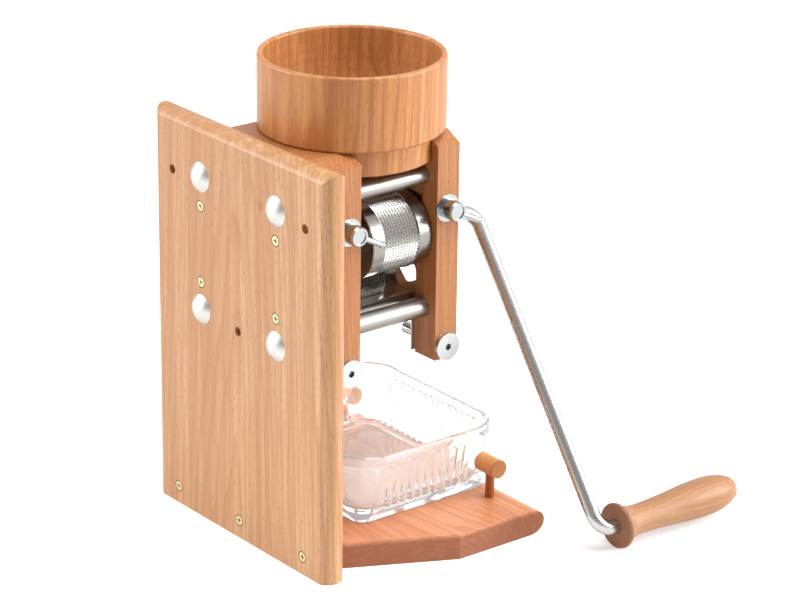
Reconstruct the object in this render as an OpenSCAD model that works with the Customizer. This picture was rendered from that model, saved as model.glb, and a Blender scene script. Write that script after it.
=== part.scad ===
// A hand-cranked grain flaker: two steel rollers between beech plates, on a wall plate with a dish shelf.
// Millimetres. +Z is up, the wall is at +Y, the front is at -Y, and the crank arm hangs towards -X.
// The origin is on the resting face, under the middle of the gap between the rear block and the front
// plate. Depths are counted forwards from there: the depth d lies at y = -d, and the wall plate's is negative.

/* [Wall plate] */
// Width of the wall plate across its rounded sides
plate_w = 191; // [180:1:220]
// Height of the wall plate
plate_h = 279.6; // [278:0.2:320]
// Thickness of the wall plate
plate_t = 18; // [16:1:22]
// How far the plate's rounded edges stand out from the ends of its flat faces
plate_bulge = 5.8; // [3:0.2:8]
// Distance between the two upper wall holes
wall_hole_gap = 146; // [130:1:150]
// Height of the two upper wall holes
wall_hole_z = 240; // [200:1:250]
// Height of the lower wall hole
wall_hole_low_z = 148; // [140:1:165]
// Diameter of the wall holes
wall_hole_d = 6.5; // [5:0.5:8]

/* [Mill body] */
// Width of the mill body
mill_w = 110.6; // [106:0.2:116]
// Height of the mill body's lower edge above the foot
mill_low_z = 116; // [100:1:118]
// Height of the mill body's top
mill_top_z = 272; // [268:1:276]
// Thickness of the rear block
block_t = 40; // [36:1:44]
// Clear gap between the rear block and the front plate
mill_gap = 63; // [60:1:70]
// Thickness of the front plate
front_t = 18; // [18:1:22]
// Width of the chamfers on the upper corners
chamfer_w = 13; // [8:1:16]
// Height of the chamfers on the upper corners
chamfer_h = 6.5; // [4:0.5:9]
// Clear width of the arch between the legs
arch_w = 68; // [64:1:70]
// Height of the arch's ceiling
arch_z = 180; // [170:1:184]
// Radius in the corners of the arch
arch_r = 8; // [4:1:12]

/* [Spacer rods and bolts] */
// Diameter of the upper spacer rods
upper_rod_d = 11; // [10:0.5:12]
// Diameter of the lower spacer rods
lower_rod_d = 14; // [12:0.5:14]
// Distance from rod to rod
rod_gap = 83; // [82:0.5:88]
// Height of the upper rods
upper_rod_z = 243; // [238:1:244]
// Height of the lower rods
lower_rod_z = 151; // [146:1:156]
// Thread diameter of the long bolts
bolt_d = 8; // [6:1:8]
// Head diameter of the carriage bolts
carriage_head_d = 20.6; // [18:0.2:22]
// Diameter of the screws that hold the plate to the block and the shelf
screw_d = 4; // [3:0.5:5]
// Distance between the small screws of the block
block_screw_gap = 83; // [76:1:90]
// Heights of the upper and the lower small screws
block_screw_high_z = 223; // [215:1:228]
// Height of the lower pair of small screws
block_screw_low_z = 170; // [165:1:185]

/* [Rollers] */
// Diameter of the rollers
roller_d = 51; // [46:0.5:51]
// Length of the rollers
roller_len = 48; // [40:1:52]
// Length of the plain band at each end of a roller
band_len = 10; // [6:1:12]
// Depth of the knurled belt below the plain bands
knurl_depth = 0.4; // [0.2:0.1:0.8]
// Gap between the two rollers
nip = 1.4; // [1:0.1:2.4]
// Height of the roller axes
shaft_z = 203; // [200:1:206]
// Diameter of the roller shafts
shaft_d = 12; // [10:0.5:14]
// Gap between a roller's front end and the front plate
front_gap = 1.5; // [1:0.1:3]
// Outer diameter of the idle roller's bushes
bush_d = 20; // [18:0.5:22]

/* [Gap adjusters] */
// Height of the adjusting spindles
adjuster_z = 222; // [220:0.5:222]
// Distance of the spindles from the inner faces of the plates
adjuster_inset = 9; // [7:0.5:9]
// Diameter of the collars
collar_d = 13.6; // [12:0.2:15]
// Length of a collar outside the plate
collar_len = 11; // [9:1:14]
// Diameter of the flange of the spindle inserts
insert_d = 19; // [17:0.5:20]
// Length of the adjusting levers
lever_len = 24; // [20:1:28]
// Slope of the levers below the horizontal
lever_drop = 27; // [15:1:35]
// Travel of the bearing slides each way
slide_travel = 0.8; // [0.4:0.1:0.9]

/* [Scrapers] */
// Thickness of the scraper sheet
scraper_t = 1.2; // [0.8:0.1:1.6]
// Gap between a scraper's edge and its roller
scraper_gap = 1.1; // [1:0.1:2]
// Slope of the scraper blades
blade_rise = 44; // [42:1:52]

/* [Crank] */
// Diameter of the crank rod
crank_d = 10; // [8:0.5:10]
// Distance from the front plate to the crank arm
crank_reach = 37; // [37:0.5:45]
// Sideways distance from the shaft to the grip
crank_side = 137; // [120:1:150]
// Height of the grip's axis above the foot
grip_z = 16; // [16:0.1:30]
// Bend radius of the crank rod
bend_r = 12; // [11:0.5:16]
// Length of the grip
grip_len = 105; // [95:1:125]
// Diameter of the disc at the inner end of the grip
grip_disc_d = 31.4; // [28:0.2:31.4]

/* [Hopper] */
// Outer diameter of the hopper
hopper_d = 124.4; // [120:0.2:130]
// Height of the hopper above the mill body
hopper_h = 50.6; // [40:0.2:60]
// Distance of the hopper's axis in front of the middle of the mill's gap
hopper_forward = 3; // [0:0.5:5]
// Diameter of the hopper's neck
neck_d = 111; // [106:0.5:112]
// Height of the neck
neck_h = 18; // [14:0.5:18]
// Diameter of the throat
throat_d = 44; // [36:1:50]
// Thickness of the hopper's wall at the lip
lip_t = 4; // [3:0.5:6]

/* [Shelf] */
// Thickness of the shelf
shelf_t = 18; // [16:1:20]
// Width of the shelf in front
shelf_w = 229; // [210:1:250]
// Width of the shelf where it meets the wall plate
shelf_rear_w = 150; // [150:1:170]
// Distance from the wall plate to where the shelf is widest
shelf_flare = 79; // [60:1:100]
// Depth of the shelf from the wall plate to its nose
shelf_depth = 151.8; // [140:0.2:151.8]
// How far back the rounding of the shelf's nose begins
shelf_nose = 12.4; // [6:0.2:16]
// Distance between the outer shelf screws
shelf_screw_gap = 141; // [120:1:141]
// Diameter of the stop posts
stop_post_d = 6.4; // [5:0.2:8]
// Gap between the stop bars and the sides of the dish
stop_clear = 0.3; // [0.3:0.1:4]
// Distance of the posts from the shelf's nose
stop_inset = 18.8; // [16:0.2:24]
// Diameter of the stop bars
stop_bar_d = 13; // [10:0.5:16]
// Length of the stop bars
stop_bar_len = 18.4; // [14:0.2:18.4]
// Height of the bars' axes above the shelf
stop_bar_z = 23; // [16:1:26]

/* [Glass dish] */
// Width of the dish at its rim
dish_w = 146.4; // [130:0.4:146.4]
// Depth of the dish at its rim, from rear to front
dish_depth = 126; // [110:1:128]
// Height of the dish
dish_h = 49; // [40:1:56]
// How far each wall leans outwards from the base to the rim
dish_lean = 7; // [3:0.5:10]
// Thickness of the glass walls
dish_wall = 4; // [3:0.5:5]
// Thickness of the glass base
dish_base = 7; // [5:0.5:9]
// Corner radius at the rim
dish_corner = 26; // [20:1:32]
// Number of pressed ribs round the walls
rib_count = 76; // [40:2:90]
// Height of the ribs
rib_depth = 0.8; // [0.3:0.1:1.2]
// Height of the plain band below the rim
rim_band = 8; // [5:0.5:12]
// Distance of the rim behind the shelf's nose
dish_back = 0.5; // [0.5:0.5:4]

/* [Hidden] */
$fn = 64;
// Overrun that keeps cutting faces apart
eps = 0.5;

// Depths of the faces, from the wall side of the plate to the crank arm
gap_y = -mill_gap / 2;
block_y = gap_y - block_t;
wall_y = block_y - plate_t;
front_y = mill_gap / 2;
face_y = front_y + front_t;
crank_y = face_y + crank_reach;
nose_y = block_y + shelf_depth;

// Radius of the arcs that round the plate's edges
edge_r = (plate_t * plate_t / 4 + plate_bulge * plate_bulge) / (2 * plate_bulge);

// Roller places: the driven one is on the near side, at -X
axis_gap = roller_d + nip;
drive_x = -axis_gap / 2;
idle_x = axis_gap / 2;
roller_front_y = front_y - front_gap;
roller_rear_y = roller_front_y - roller_len;
shaft_r = shaft_d / 2;
run = 0.05;

// Bearing slides of the driven roller, in pockets in the inner faces
slide_w = 24;
slide_below = 13;
slide_above = 7;
slide_low_z = shaft_z - slide_below;
slide_high_z = adjuster_z + slide_above;
slide_t = 14;
pocket_gap = slide_travel + 0.3;
slide_fit = 0.1;

// Bolts, screws and their holes
bolt_fit = 0.2;
bolt_r = bolt_d / 2;
thread_len = 16;
carriage_head_h = 4.4;
cap_head_d = 14;
cap_head_h = 5;
socket_d = 5;
screw_len = 34;
screw_head_d = 2 * screw_d;
screw_head_h = screw_d / 2;
screw_tip = 4;
recess_w = 1.1 * screw_d;
recess_t = 0.8;
recess_depth = 1;
shelf_screw_z = 0.7 * shelf_t;

// Side bolts that clamp the scrapers to the legs
side_bolt_rise = 9;
side_bolt_z = mill_low_z + side_bolt_rise;
side_bolt_inset = adjuster_inset;
side_bolt_d = 6;
side_head_d = 19;
side_head_h = 3;
sleeve_d = 8;
sleeve_len = 20;

// Scrapers: a web inside each pair of legs, and a blade that rises to the roller
web_drop = 2;
web_rise = lower_rod_d / 2 + 2;
web_low_z = lower_rod_z - web_drop;
web_top_z = lower_rod_z + web_rise;
lug_foot = 2;
web_end_gap = 3;
lug_w = 16;
leg_x = arch_w / 2;
blade_x = -leg_x + scraper_t;
blade_reach = [cos(blade_rise), sin(blade_rise)];
// Blade length at which its line meets the circle that lies scraper_gap outside the roller
roller_dx = drive_x - blade_x;
roller_dz = shaft_z - web_top_z;
blade_along = roller_dx * blade_reach[0] + roller_dz * blade_reach[1];
blade_across = roller_dz * blade_reach[0] - roller_dx * blade_reach[1];
blade_len = blade_along - sqrt(max(0, pow(roller_d / 2 + scraper_gap, 2) - blade_across * blade_across));

// Adjusters
spindle_d = 8;
insert_t = 1.5;
insert_len = 12;
insert_fit = 0.1;
collar_rim = 1.5;
collar_recess = 0.8;
lever_d = 5;
lever_tip_d = 3.6;

// Crank geometry: the arm hangs at crank_lean from the vertical
crank_drop = shaft_z - grip_z;
crank_len = norm([crank_side, crank_drop]);
crank_lean = atan2(crank_side, crank_drop);
crank_r = crank_d / 2;
socket_len = 9;
shaft_out = 7;
grip_start = crank_y + bend_r + 2;
grip_pocket = 14;
grip_head_d = 13;
grip_head_h = 3;
grip_screw_d = 5;
grip_screw_len = 12;
grip_fit = 0.08;
pin_end = grip_start + grip_len - grip_pocket;

// Hopper seat
neck_fit = 0.4;
hopper_floor_z = mill_top_z - neck_h;
hopper_top_z = mill_top_z + hopper_h;

// Dish, placed from the shelf's nose, and the stops beside it, clear of its leaning walls
dish_y = nose_y - dish_back - dish_depth / 2;
dish_gap = 0.3;
band_in = 1.2;
bar_top = stop_bar_z + stop_bar_d / 2;
bar_in = dish_lean - (dish_lean - band_in) * (bar_top - dish_base) / (dish_h - rim_band - dish_base);
stop_x = dish_w / 2 - bar_in + stop_clear + stop_bar_len / 2;
stop_y = nose_y - stop_inset;
post_sunk = 12;

// Finds the point at share t of a cubic through four even points, used for turned outlines
function cubic(a, b, c, d, t) =
    0.5 * (2 * b + (c - a) * t + (2 * a - 5 * b + 4 * c - d) * t * t + (3 * b - a - 3 * c + d) * t * t * t);
function keep(i, n) = min(max(i, 0), n - 1);
// Smooths a list of [place, radius] knots into an outline with steps points a span
function smooth(k, steps) = [
    for (i = [0 : len(k) - 2])
        for (s = [0 : steps - 1])
            let (n = len(k), t = s / steps)
                cubic(k[keep(i - 1, n)], k[i], k[i + 1], k[keep(i + 2, n)], t)
];

// A round bar along +X from x0, or along -Y from the depth y0
module bar_x(x0, length, d, y, z) {
    translate([x0, -y, z])
        rotate([0, 90, 0])
            cylinder(h = length, d = d);
}
module bar_y(x, y0, length, d, z) {
    translate([x, -y0, z])
        rotate([90, 0, 0])
            cylinder(h = length, d = d);
}
// A cone along -Y, from diameter d0 at the depth y0 to d1
module cone_y(x, y0, length, d0, d1, z) {
    translate([x, -y0, z])
        rotate([90, 0, 0])
            cylinder(h = length, d1 = d0, d2 = d1);
}
// An outline in X and Z, given thickness from the depth y0 forwards
module board(y0, t) {
    translate([0, -y0, 0])
        rotate([90, 0, 0])
            linear_extrude(height = t)
                children();
}
module both_sides() {
    children();
    mirror([1, 0, 0])
        children();
}

// Wall plate: sides and top rounded by flat arcs, foot cut square
module wall_plate_solid() {
    intersection() {
        linear_extrude(height = plate_h)
            intersection() {
                translate([-plate_w / 2, -block_y])
                    square([plate_w, plate_t]);
                union() {
                    translate([-plate_w / 2 + edge_r, -block_y])
                        square([plate_w - 2 * edge_r, plate_t]);
                    for (x = [-1, 1])
                        translate([x * (plate_w / 2 - edge_r), -block_y + plate_t / 2])
                            circle(r = edge_r);
                }
            }
        translate([-plate_w / 2 - eps, 0, 0])
            rotate([90, 0, 90])
                linear_extrude(height = plate_w + 2 * eps)
                    union() {
                        translate([-block_y - eps, 0])
                            square([plate_t + 2 * eps, plate_h - edge_r]);
                        translate([-block_y + plate_t / 2, plate_h - edge_r])
                            circle(r = edge_r);
                    }
    }
}
module wall_plate() {
    color("burlywood")
        difference() {
            wall_plate_solid();
            for (x = [-1, 1])
                wall_hole(x * wall_hole_gap / 2, wall_hole_z);
            wall_hole(0, wall_hole_low_z);
            for (x = [-1, 1], z = [upper_rod_z, lower_rod_z])
                bar_y(x * rod_gap / 2, wall_y - eps, plate_t + 2 * eps, bolt_d + 2 * bolt_fit, z);
            for (x = [-1, 1], z = [block_screw_high_z, block_screw_low_z])
                screw_hole(x * block_screw_gap / 2, z);
            for (x = [-1, 0, 1])
                screw_hole(x * shelf_screw_gap / 2, shelf_screw_z);
        }
}
// Plain hole, countersunk in front where the screw into the wall goes in
module wall_hole(x, z) {
    bar_y(x, wall_y - eps, plate_t + 2 * eps, wall_hole_d, z);
    cone_y(x, block_y - wall_hole_d / 2, wall_hole_d / 2, wall_hole_d, 2 * wall_hole_d, z);
    bar_y(x, block_y, eps, 2 * wall_hole_d, z);
}
// Screw hole, countersunk behind
module screw_hole(x, z) {
    bar_y(x, wall_y - eps, plate_t + 2 * eps, screw_d, z);
    bar_y(x, wall_y - eps, eps, screw_head_d, z);
    cone_y(x, wall_y, screw_head_h, screw_head_d, screw_d, z);
}

// The outline that the rear block and the front plate share: chamfered shoulders, arch between two legs
module mill_outline() {
    difference() {
        polygon([
            [-mill_w / 2, mill_low_z],
            [mill_w / 2, mill_low_z],
            [mill_w / 2, mill_top_z - chamfer_h],
            [mill_w / 2 - chamfer_w, mill_top_z],
            [-mill_w / 2 + chamfer_w, mill_top_z],
            [-mill_w / 2, mill_top_z - chamfer_h]
        ]);
        translate([-leg_x, mill_low_z - eps])
            square([arch_w, arch_z - arch_r - mill_low_z + eps]);
        translate([-leg_x + arch_r, mill_low_z])
            square([arch_w - 2 * arch_r, arch_z - mill_low_z]);
        for (x = [-1, 1])
            translate([x * (leg_x - arch_r), arch_z - arch_r])
                circle(r = arch_r);
    }
}
// Round seat for the hopper's neck
module neck_seat() {
    translate([0, -hopper_forward, hopper_floor_z])
        cylinder(h = neck_h + eps, d = neck_d + 2 * neck_fit, $fn = 128);
}
// Pocket for a bearing slide, between the depths y0 and y1
module slide_pocket(y0, y1) {
    translate([drive_x - slide_w / 2 - pocket_gap, -y1, slide_low_z - slide_fit])
        cube([slide_w + 2 * pocket_gap, y1 - y0, slide_high_z - slide_low_z + 2 * slide_fit]);
}
// Bore and flange seat of an adjusting spindle, at the depth y
module adjuster_bore(y) {
    bar_x(-mill_w / 2 - eps, mill_w / 2 + drive_x - slide_w / 2 + eps, spindle_d + 2 * insert_t, y, adjuster_z);
    bar_x(-mill_w / 2 - eps, insert_t + eps, insert_d, y, adjuster_z);
}
module side_bores(y) {
    for (x = [-1, 1])
        translate([x * (mill_w / 2 + leg_x) / 2, -y, side_bolt_z])
            rotate([0, 90, 0])
                cylinder(h = mill_w / 2 - leg_x + 2 * eps, d = side_bolt_d + 2 * bolt_fit, center = true);
}

module rear_block() {
    color("peru")
        difference() {
            board(block_y, block_t)
                mill_outline();
            neck_seat();
            for (x = [-1, 1], z = [upper_rod_z, lower_rod_z])
                bar_y(x * rod_gap / 2, block_y - eps, block_t + 2 * eps, bolt_d + 2 * bolt_fit, z);
            for (x = [-1, 1], z = [block_screw_high_z, block_screw_low_z])
                bar_y(x * block_screw_gap / 2, block_y - eps, screw_len - plate_t + 1 + eps, screw_d, z);
            slide_pocket(gap_y - slide_t, gap_y + eps);
            bar_y(idle_x, gap_y - front_t, front_t + eps, bush_d, shaft_z);
            adjuster_bore(gap_y - adjuster_inset);
            side_bores(gap_y - side_bolt_inset);
        }
}

module front_plate() {
    color("peru")
        difference() {
            board(front_y, front_t)
                mill_outline();
            neck_seat();
            for (x = [-1, 1], z = [upper_rod_z, lower_rod_z])
                bar_y(x * rod_gap / 2, front_y - eps, front_t + 2 * eps, bolt_d + 2 * bolt_fit, z);
            slide_pocket(front_y - eps, front_y + slide_t);
            shaft_slot();
            bar_y(idle_x, front_y - eps, front_t + 2 * eps, bush_d, shaft_z);
            adjuster_bore(front_y + adjuster_inset);
            side_bores(front_y + side_bolt_inset);
        }
}
// Slot that lets the driving shaft follow its slides
module shaft_slot() {
    slot_d = shaft_d + 1.2;
    for (x = [-slide_travel, slide_travel])
        bar_y(drive_x + x, front_y, front_t + eps, slot_d, shaft_z);
    translate([drive_x - slide_travel, -face_y - eps, shaft_z - slot_d / 2])
        cube([2 * slide_travel, front_t + eps, slot_d]);
}

// Steel rods that hold the two plates apart, threaded at both ends
module rod_pair(d, z) {
    for (x = [-1, 1])
        difference() {
            bar_y(x * rod_gap / 2, gap_y, mill_gap, d, z);
            bar_y(x * rod_gap / 2, gap_y - eps, thread_len + 2 + eps, bolt_d, z);
            bar_y(x * rod_gap / 2, front_y - thread_len - 2, thread_len + 2 + eps, bolt_d, z);
        }
}
module upper_rods() {
    color("silver")
        rod_pair(upper_rod_d, upper_rod_z);
}
module lower_rods() {
    color("silver")
        rod_pair(lower_rod_d, lower_rod_z);
}

// Carriage bolts from behind, with low domed heads
module carriage_bolts() {
    dome_r = (carriage_head_d * carriage_head_d / 4 + carriage_head_h * carriage_head_h) / (2 * carriage_head_h);
    color("gainsboro")
        for (x = [-1, 1], z = [upper_rod_z, lower_rod_z]) {
            bar_y(x * rod_gap / 2, wall_y, plate_t + block_t + thread_len, bolt_d, z);
            translate([x * rod_gap / 2, -wall_y, z])
                rotate([-90, 0, 0])
                    rotate_extrude()
                        intersection() {
                            translate([0, carriage_head_h - dome_r])
                                circle(r = dome_r, $fn = 96);
                            square([carriage_head_d / 2, carriage_head_h]);
                        }
        }
}
// Socket-head bolts in front
module front_bolts() {
    color("silver")
        for (x = [-1, 1], z = [upper_rod_z, lower_rod_z])
            difference() {
                union() {
                    bar_y(x * rod_gap / 2, front_y - thread_len, front_t + thread_len, bolt_d, z);
                    bar_y(x * rod_gap / 2, face_y, cap_head_h - 1, cap_head_d, z);
                    cone_y(x * rod_gap / 2, face_y + cap_head_h - 1, 1, cap_head_d, cap_head_d - 2, z);
                }
                translate([x * rod_gap / 2, -face_y - cap_head_h - eps, z])
                    rotate([-90, 0, 0])
                        cylinder(h = 3 + eps, d = socket_d, $fn = 6);
            }
}

// Countersunk wood screw from behind, with a cross recess
module wood_screw(x, z) {
    difference() {
        union() {
            cone_y(x, wall_y, screw_head_h, screw_head_d, screw_d, z);
            bar_y(x, wall_y + screw_head_h, screw_len - screw_head_h - screw_tip, screw_d, z);
            cone_y(x, wall_y + screw_len - screw_tip, screw_tip, screw_d, 0.6, z);
        }
        for (turn = [0, 90])
            translate([x, -wall_y, z])
                rotate([0, turn, 0])
                    translate([-recess_w / 2, -recess_depth, -recess_t / 2])
                        cube([recess_w, recess_depth + eps, recess_t]);
    }
}
module block_screws() {
    color("goldenrod")
        for (x = [-1, 1], z = [block_screw_high_z, block_screw_low_z])
            wood_screw(x * block_screw_gap / 2, z);
}
module shelf_screws() {
    color("darkgray")
        for (x = [-1, 0, 1])
            wood_screw(x * shelf_screw_gap / 2, shelf_screw_z);
}

// Shelf: widens from the wall plate, then runs straight to a rounded nose
module shelf() {
    color("chocolate")
        difference() {
            intersection() {
                linear_extrude(height = shelf_t)
                    polygon([
                        [-shelf_rear_w / 2, -block_y],
                        [shelf_rear_w / 2, -block_y],
                        [shelf_w / 2, -block_y - shelf_flare],
                        [shelf_w / 2, -nose_y],
                        [-shelf_w / 2, -nose_y],
                        [-shelf_w / 2, -block_y - shelf_flare]
                    ]);
                translate([-shelf_w / 2 - eps, 0, 0])
                    rotate([90, 0, 90])
                        linear_extrude(height = shelf_w + 2 * eps)
                            polygon(concat(
                                [[-block_y + eps, shelf_t]],
                                [for (a = [0 : 7.5 : 180])
                                    [-nose_y + shelf_nose * (1 - sin(a)), shelf_t / 2 * (1 + cos(a))]],
                                [[-block_y + eps, 0]]
                            ));
            }
            for (x = [-1, 0, 1])
                bar_y(x * shelf_screw_gap / 2, block_y - eps, screw_len - plate_t + 1 + eps, screw_d, shelf_screw_z);
            for (x = [-1, 1])
                translate([x * stop_x, -stop_y, shelf_t - post_sunk])
                    cylinder(h = post_sunk + eps, d = stop_post_d);
        }
}

// Stops beside the dish's front corners: a bar on a short post
module stop_posts() {
    color("sienna")
        for (x = [-1, 1])
            translate([x * stop_x, -stop_y, shelf_t - post_sunk])
                cylinder(h = post_sunk + stop_bar_z, d = stop_post_d);
}
module stop_bars() {
    color("sandybrown")
        for (x = [-1, 1])
            difference() {
                bar_x(x * stop_x - stop_bar_len / 2, stop_bar_len, stop_bar_d, stop_y, shelf_t + stop_bar_z);
                translate([x * stop_x, -stop_y, shelf_t])
                    cylinder(h = stop_bar_z, d = stop_post_d);
            }
}

// Flat-headed bolts through the legs, with sleeve nuts inside the arch
module side_bolt(y) {
    difference() {
        union() {
            bar_x(-mill_w / 2 - side_head_h, side_head_h - 0.8, side_head_d, y, side_bolt_z);
            translate([-mill_w / 2, -y, side_bolt_z])
                rotate([0, -90, 0])
                    cylinder(h = side_head_h, d1 = side_head_d, d2 = side_head_d - 1.6);
            bar_x(-mill_w / 2, mill_w / 2 - leg_x + scraper_t + sleeve_len - 6, side_bolt_d, y, side_bolt_z);
        }
        translate([-mill_w / 2 - side_head_h - eps, -y, side_bolt_z])
            rotate([0, 90, 0])
                cylinder(h = 2 + eps, d = socket_d, $fn = 6);
    }
}
module side_bolts() {
    color("silver")
        both_sides()
            for (y = [gap_y - side_bolt_inset, front_y + side_bolt_inset])
                side_bolt(y);
}
module sleeve_nuts() {
    color("gainsboro")
        both_sides()
            for (y = [gap_y - side_bolt_inset, front_y + side_bolt_inset])
                difference() {
                    bar_x(-leg_x + scraper_t, sleeve_len, sleeve_d, y, side_bolt_z);
                    bar_x(-leg_x + scraper_t - eps, sleeve_len - 4 + eps, side_bolt_d, y, side_bolt_z);
                }
}

// Scraper on the near side: two lugs, a web beside the lower rod, and a blade up to the roller
module scraper() {
    y0 = gap_y - side_bolt_inset - lug_w / 2;
    y1 = front_y + side_bolt_inset + lug_w / 2;
    difference() {
        translate([-leg_x, -y1, mill_low_z + lug_foot])
            cube([scraper_t, y1 - y0, web_top_z - mill_low_z - lug_foot]);
        translate([-leg_x - eps, -front_y + web_end_gap, mill_low_z])
            cube([scraper_t + 2 * eps, mill_gap - 2 * web_end_gap, web_low_z - mill_low_z]);
        for (y = [gap_y - side_bolt_inset, front_y + side_bolt_inset])
            bar_x(-leg_x - eps, scraper_t + 2 * eps, side_bolt_d + 2 * bolt_fit, y, side_bolt_z);
    }
    translate([0, -roller_rear_y, 0])
        rotate([90, 0, 0])
            linear_extrude(height = roller_len - 1)
                polygon([
                    [blade_x, web_top_z],
                    [blade_x, web_top_z] + blade_len * blade_reach,
                    [blade_x, web_top_z] + blade_len * blade_reach + [scraper_t * sin(blade_rise), -scraper_t * cos(blade_rise)],
                    [blade_x + 0.01, web_top_z - scraper_t * 1.6],
                    [blade_x - scraper_t, web_top_z - scraper_t * 1.6],
                    [blade_x - scraper_t, web_top_z]
                ]);
}
module near_scraper() {
    color("lightgray")
        scraper();
}
module far_scraper() {
    color("lightgray")
        mirror([1, 0, 0])
            scraper();
}

// Flanged inserts that guide the adjusting spindles
module adjuster_inserts() {
    color("silver")
        for (y = [gap_y - adjuster_inset, front_y + adjuster_inset])
            difference() {
                union() {
                    bar_x(-mill_w / 2, insert_t, insert_d - 2 * insert_fit, y, adjuster_z);
                    bar_x(-mill_w / 2, insert_len, spindle_d + 2 * insert_t, y, adjuster_z);
                }
                bar_x(-mill_w / 2 - eps, insert_len + 2 * eps, spindle_d + 2 * run, y, adjuster_z);
            }
}

// Bronze bushes of the idle roller
module idle_bushes() {
    color("darkgoldenrod")
        for (y = [gap_y - front_t, front_y])
            difference() {
                bar_y(idle_x, y, front_t, bush_d, shaft_z);
                bar_y(idle_x, y - eps, front_t + 2 * eps, shaft_d + 2 * run, shaft_z);
            }
}

// Bearing slides of the driven roller
module bearing_slide(y0) {
    difference() {
        translate([drive_x - slide_w / 2, -y0 - slide_t + slide_fit, slide_low_z])
            cube([slide_w, slide_t - slide_fit, slide_high_z - slide_low_z]);
        bar_y(drive_x, y0 - eps, slide_t + 2 * eps, shaft_d + 2 * run, shaft_z);
    }
}
module rear_bearing_slide() {
    color("darkgoldenrod")
        bearing_slide(gap_y - slide_t + slide_fit);
}
module front_bearing_slide() {
    color("darkgoldenrod")
        bearing_slide(front_y);
}

// Driving shaft, with a socket for the crank rod
module drive_shaft() {
    start = gap_y - slide_t + 0.6;
    color("silver")
        difference() {
            bar_y(drive_x, start, face_y + shaft_out - start, shaft_d, shaft_z);
            bar_y(drive_x, face_y + shaft_out - socket_len, socket_len + eps, crank_d - 2, shaft_z);
        }
}
module idle_shaft() {
    start = gap_y - front_t + 0.6;
    color("silver")
        bar_y(idle_x, start, face_y - 0.6 - start, shaft_d, shaft_z);
}

// Roller: plain bands at both ends and a knurled belt between them
module roller(x) {
    difference() {
        union() {
            bar_y(x, roller_rear_y, roller_len, roller_d - 2 * knurl_depth, shaft_z);
            for (y = [roller_rear_y, roller_front_y - band_len]) {
                bar_y(x, y + 0.6, band_len - 1.2, roller_d, shaft_z);
                cone_y(x, y, 0.6, roller_d - 1.2, roller_d, shaft_z);
                cone_y(x, y + band_len - 0.6, 0.6, roller_d, roller_d - 1.2, shaft_z);
            }
        }
        bar_y(x, roller_rear_y - eps, roller_len + 2 * eps, shaft_d, shaft_z);
    }
}
module drive_roller() {
    color("gainsboro")
        roller(drive_x);
}
module idle_roller() {
    color("gainsboro")
        roller(idle_x);
}
// Spacers that keep a roller in its place along its shaft
module roller_spacers(x) {
    for (span = [[gap_y + 0.3, roller_rear_y], [roller_front_y, front_y - 0.3]])
        difference() {
            bar_y(x, span[0], span[1] - span[0], shaft_d + 7, shaft_z);
            bar_y(x, span[0] - eps, span[1] - span[0] + 2 * eps, shaft_d, shaft_z);
        }
}
module drive_spacers() {
    color("gray")
        roller_spacers(drive_x);
}
module idle_spacers() {
    color("gray")
        roller_spacers(idle_x);
}

// Crank frame: origin on the shaft axis, arm along -Z
module in_crank() {
    translate([drive_x, 0, shaft_z])
        rotate([0, crank_lean, 0])
            children();
}
// Quarter bend in Y and Z around the point [y, z], from the angle a
module quarter_bend(y, z, a) {
    translate([0, y, z])
        rotate([90, 0, 90])
            rotate([0, 0, a])
                rotate_extrude(angle = 90)
                    translate([bend_r, 0])
                        circle(d = crank_d);
}
module crank_rod() {
    color("silver")
        in_crank() {
            difference() {
                union() {
                    bar_y(0, face_y + shaft_out - socket_len, socket_len, crank_d - 2, 0);
                    bar_y(0, face_y + shaft_out, crank_y - bend_r - face_y - shaft_out, crank_d, 0);
                    quarter_bend(-crank_y + bend_r, -bend_r, 90);
                    translate([0, -crank_y, -crank_len + bend_r])
                        cylinder(h = crank_len - 2 * bend_r, d = crank_d);
                    quarter_bend(-crank_y - bend_r, -crank_len + bend_r, -90);
                    bar_y(0, crank_y + bend_r, pin_end - crank_y - bend_r, crank_d, -crank_len);
                }
                bar_y(0, pin_end - grip_screw_len - 2, grip_screw_len + 2 + eps, grip_screw_d, -crank_len);
            }
        }
}
// Screw and washer head that hold the grip on the rod
module grip_screw() {
    color("silver")
        in_crank() {
            bar_y(0, pin_end - grip_screw_len, grip_screw_len, grip_screw_d, -crank_len);
            difference() {
                bar_y(0, pin_end, grip_head_h, grip_head_d, -crank_len);
                translate([0, -pin_end - grip_head_h - eps, -crank_len])
                    rotate([-90, 0, 0])
                        cylinder(h = 2 + eps, d = 4, $fn = 6);
            }
        }
}
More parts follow.
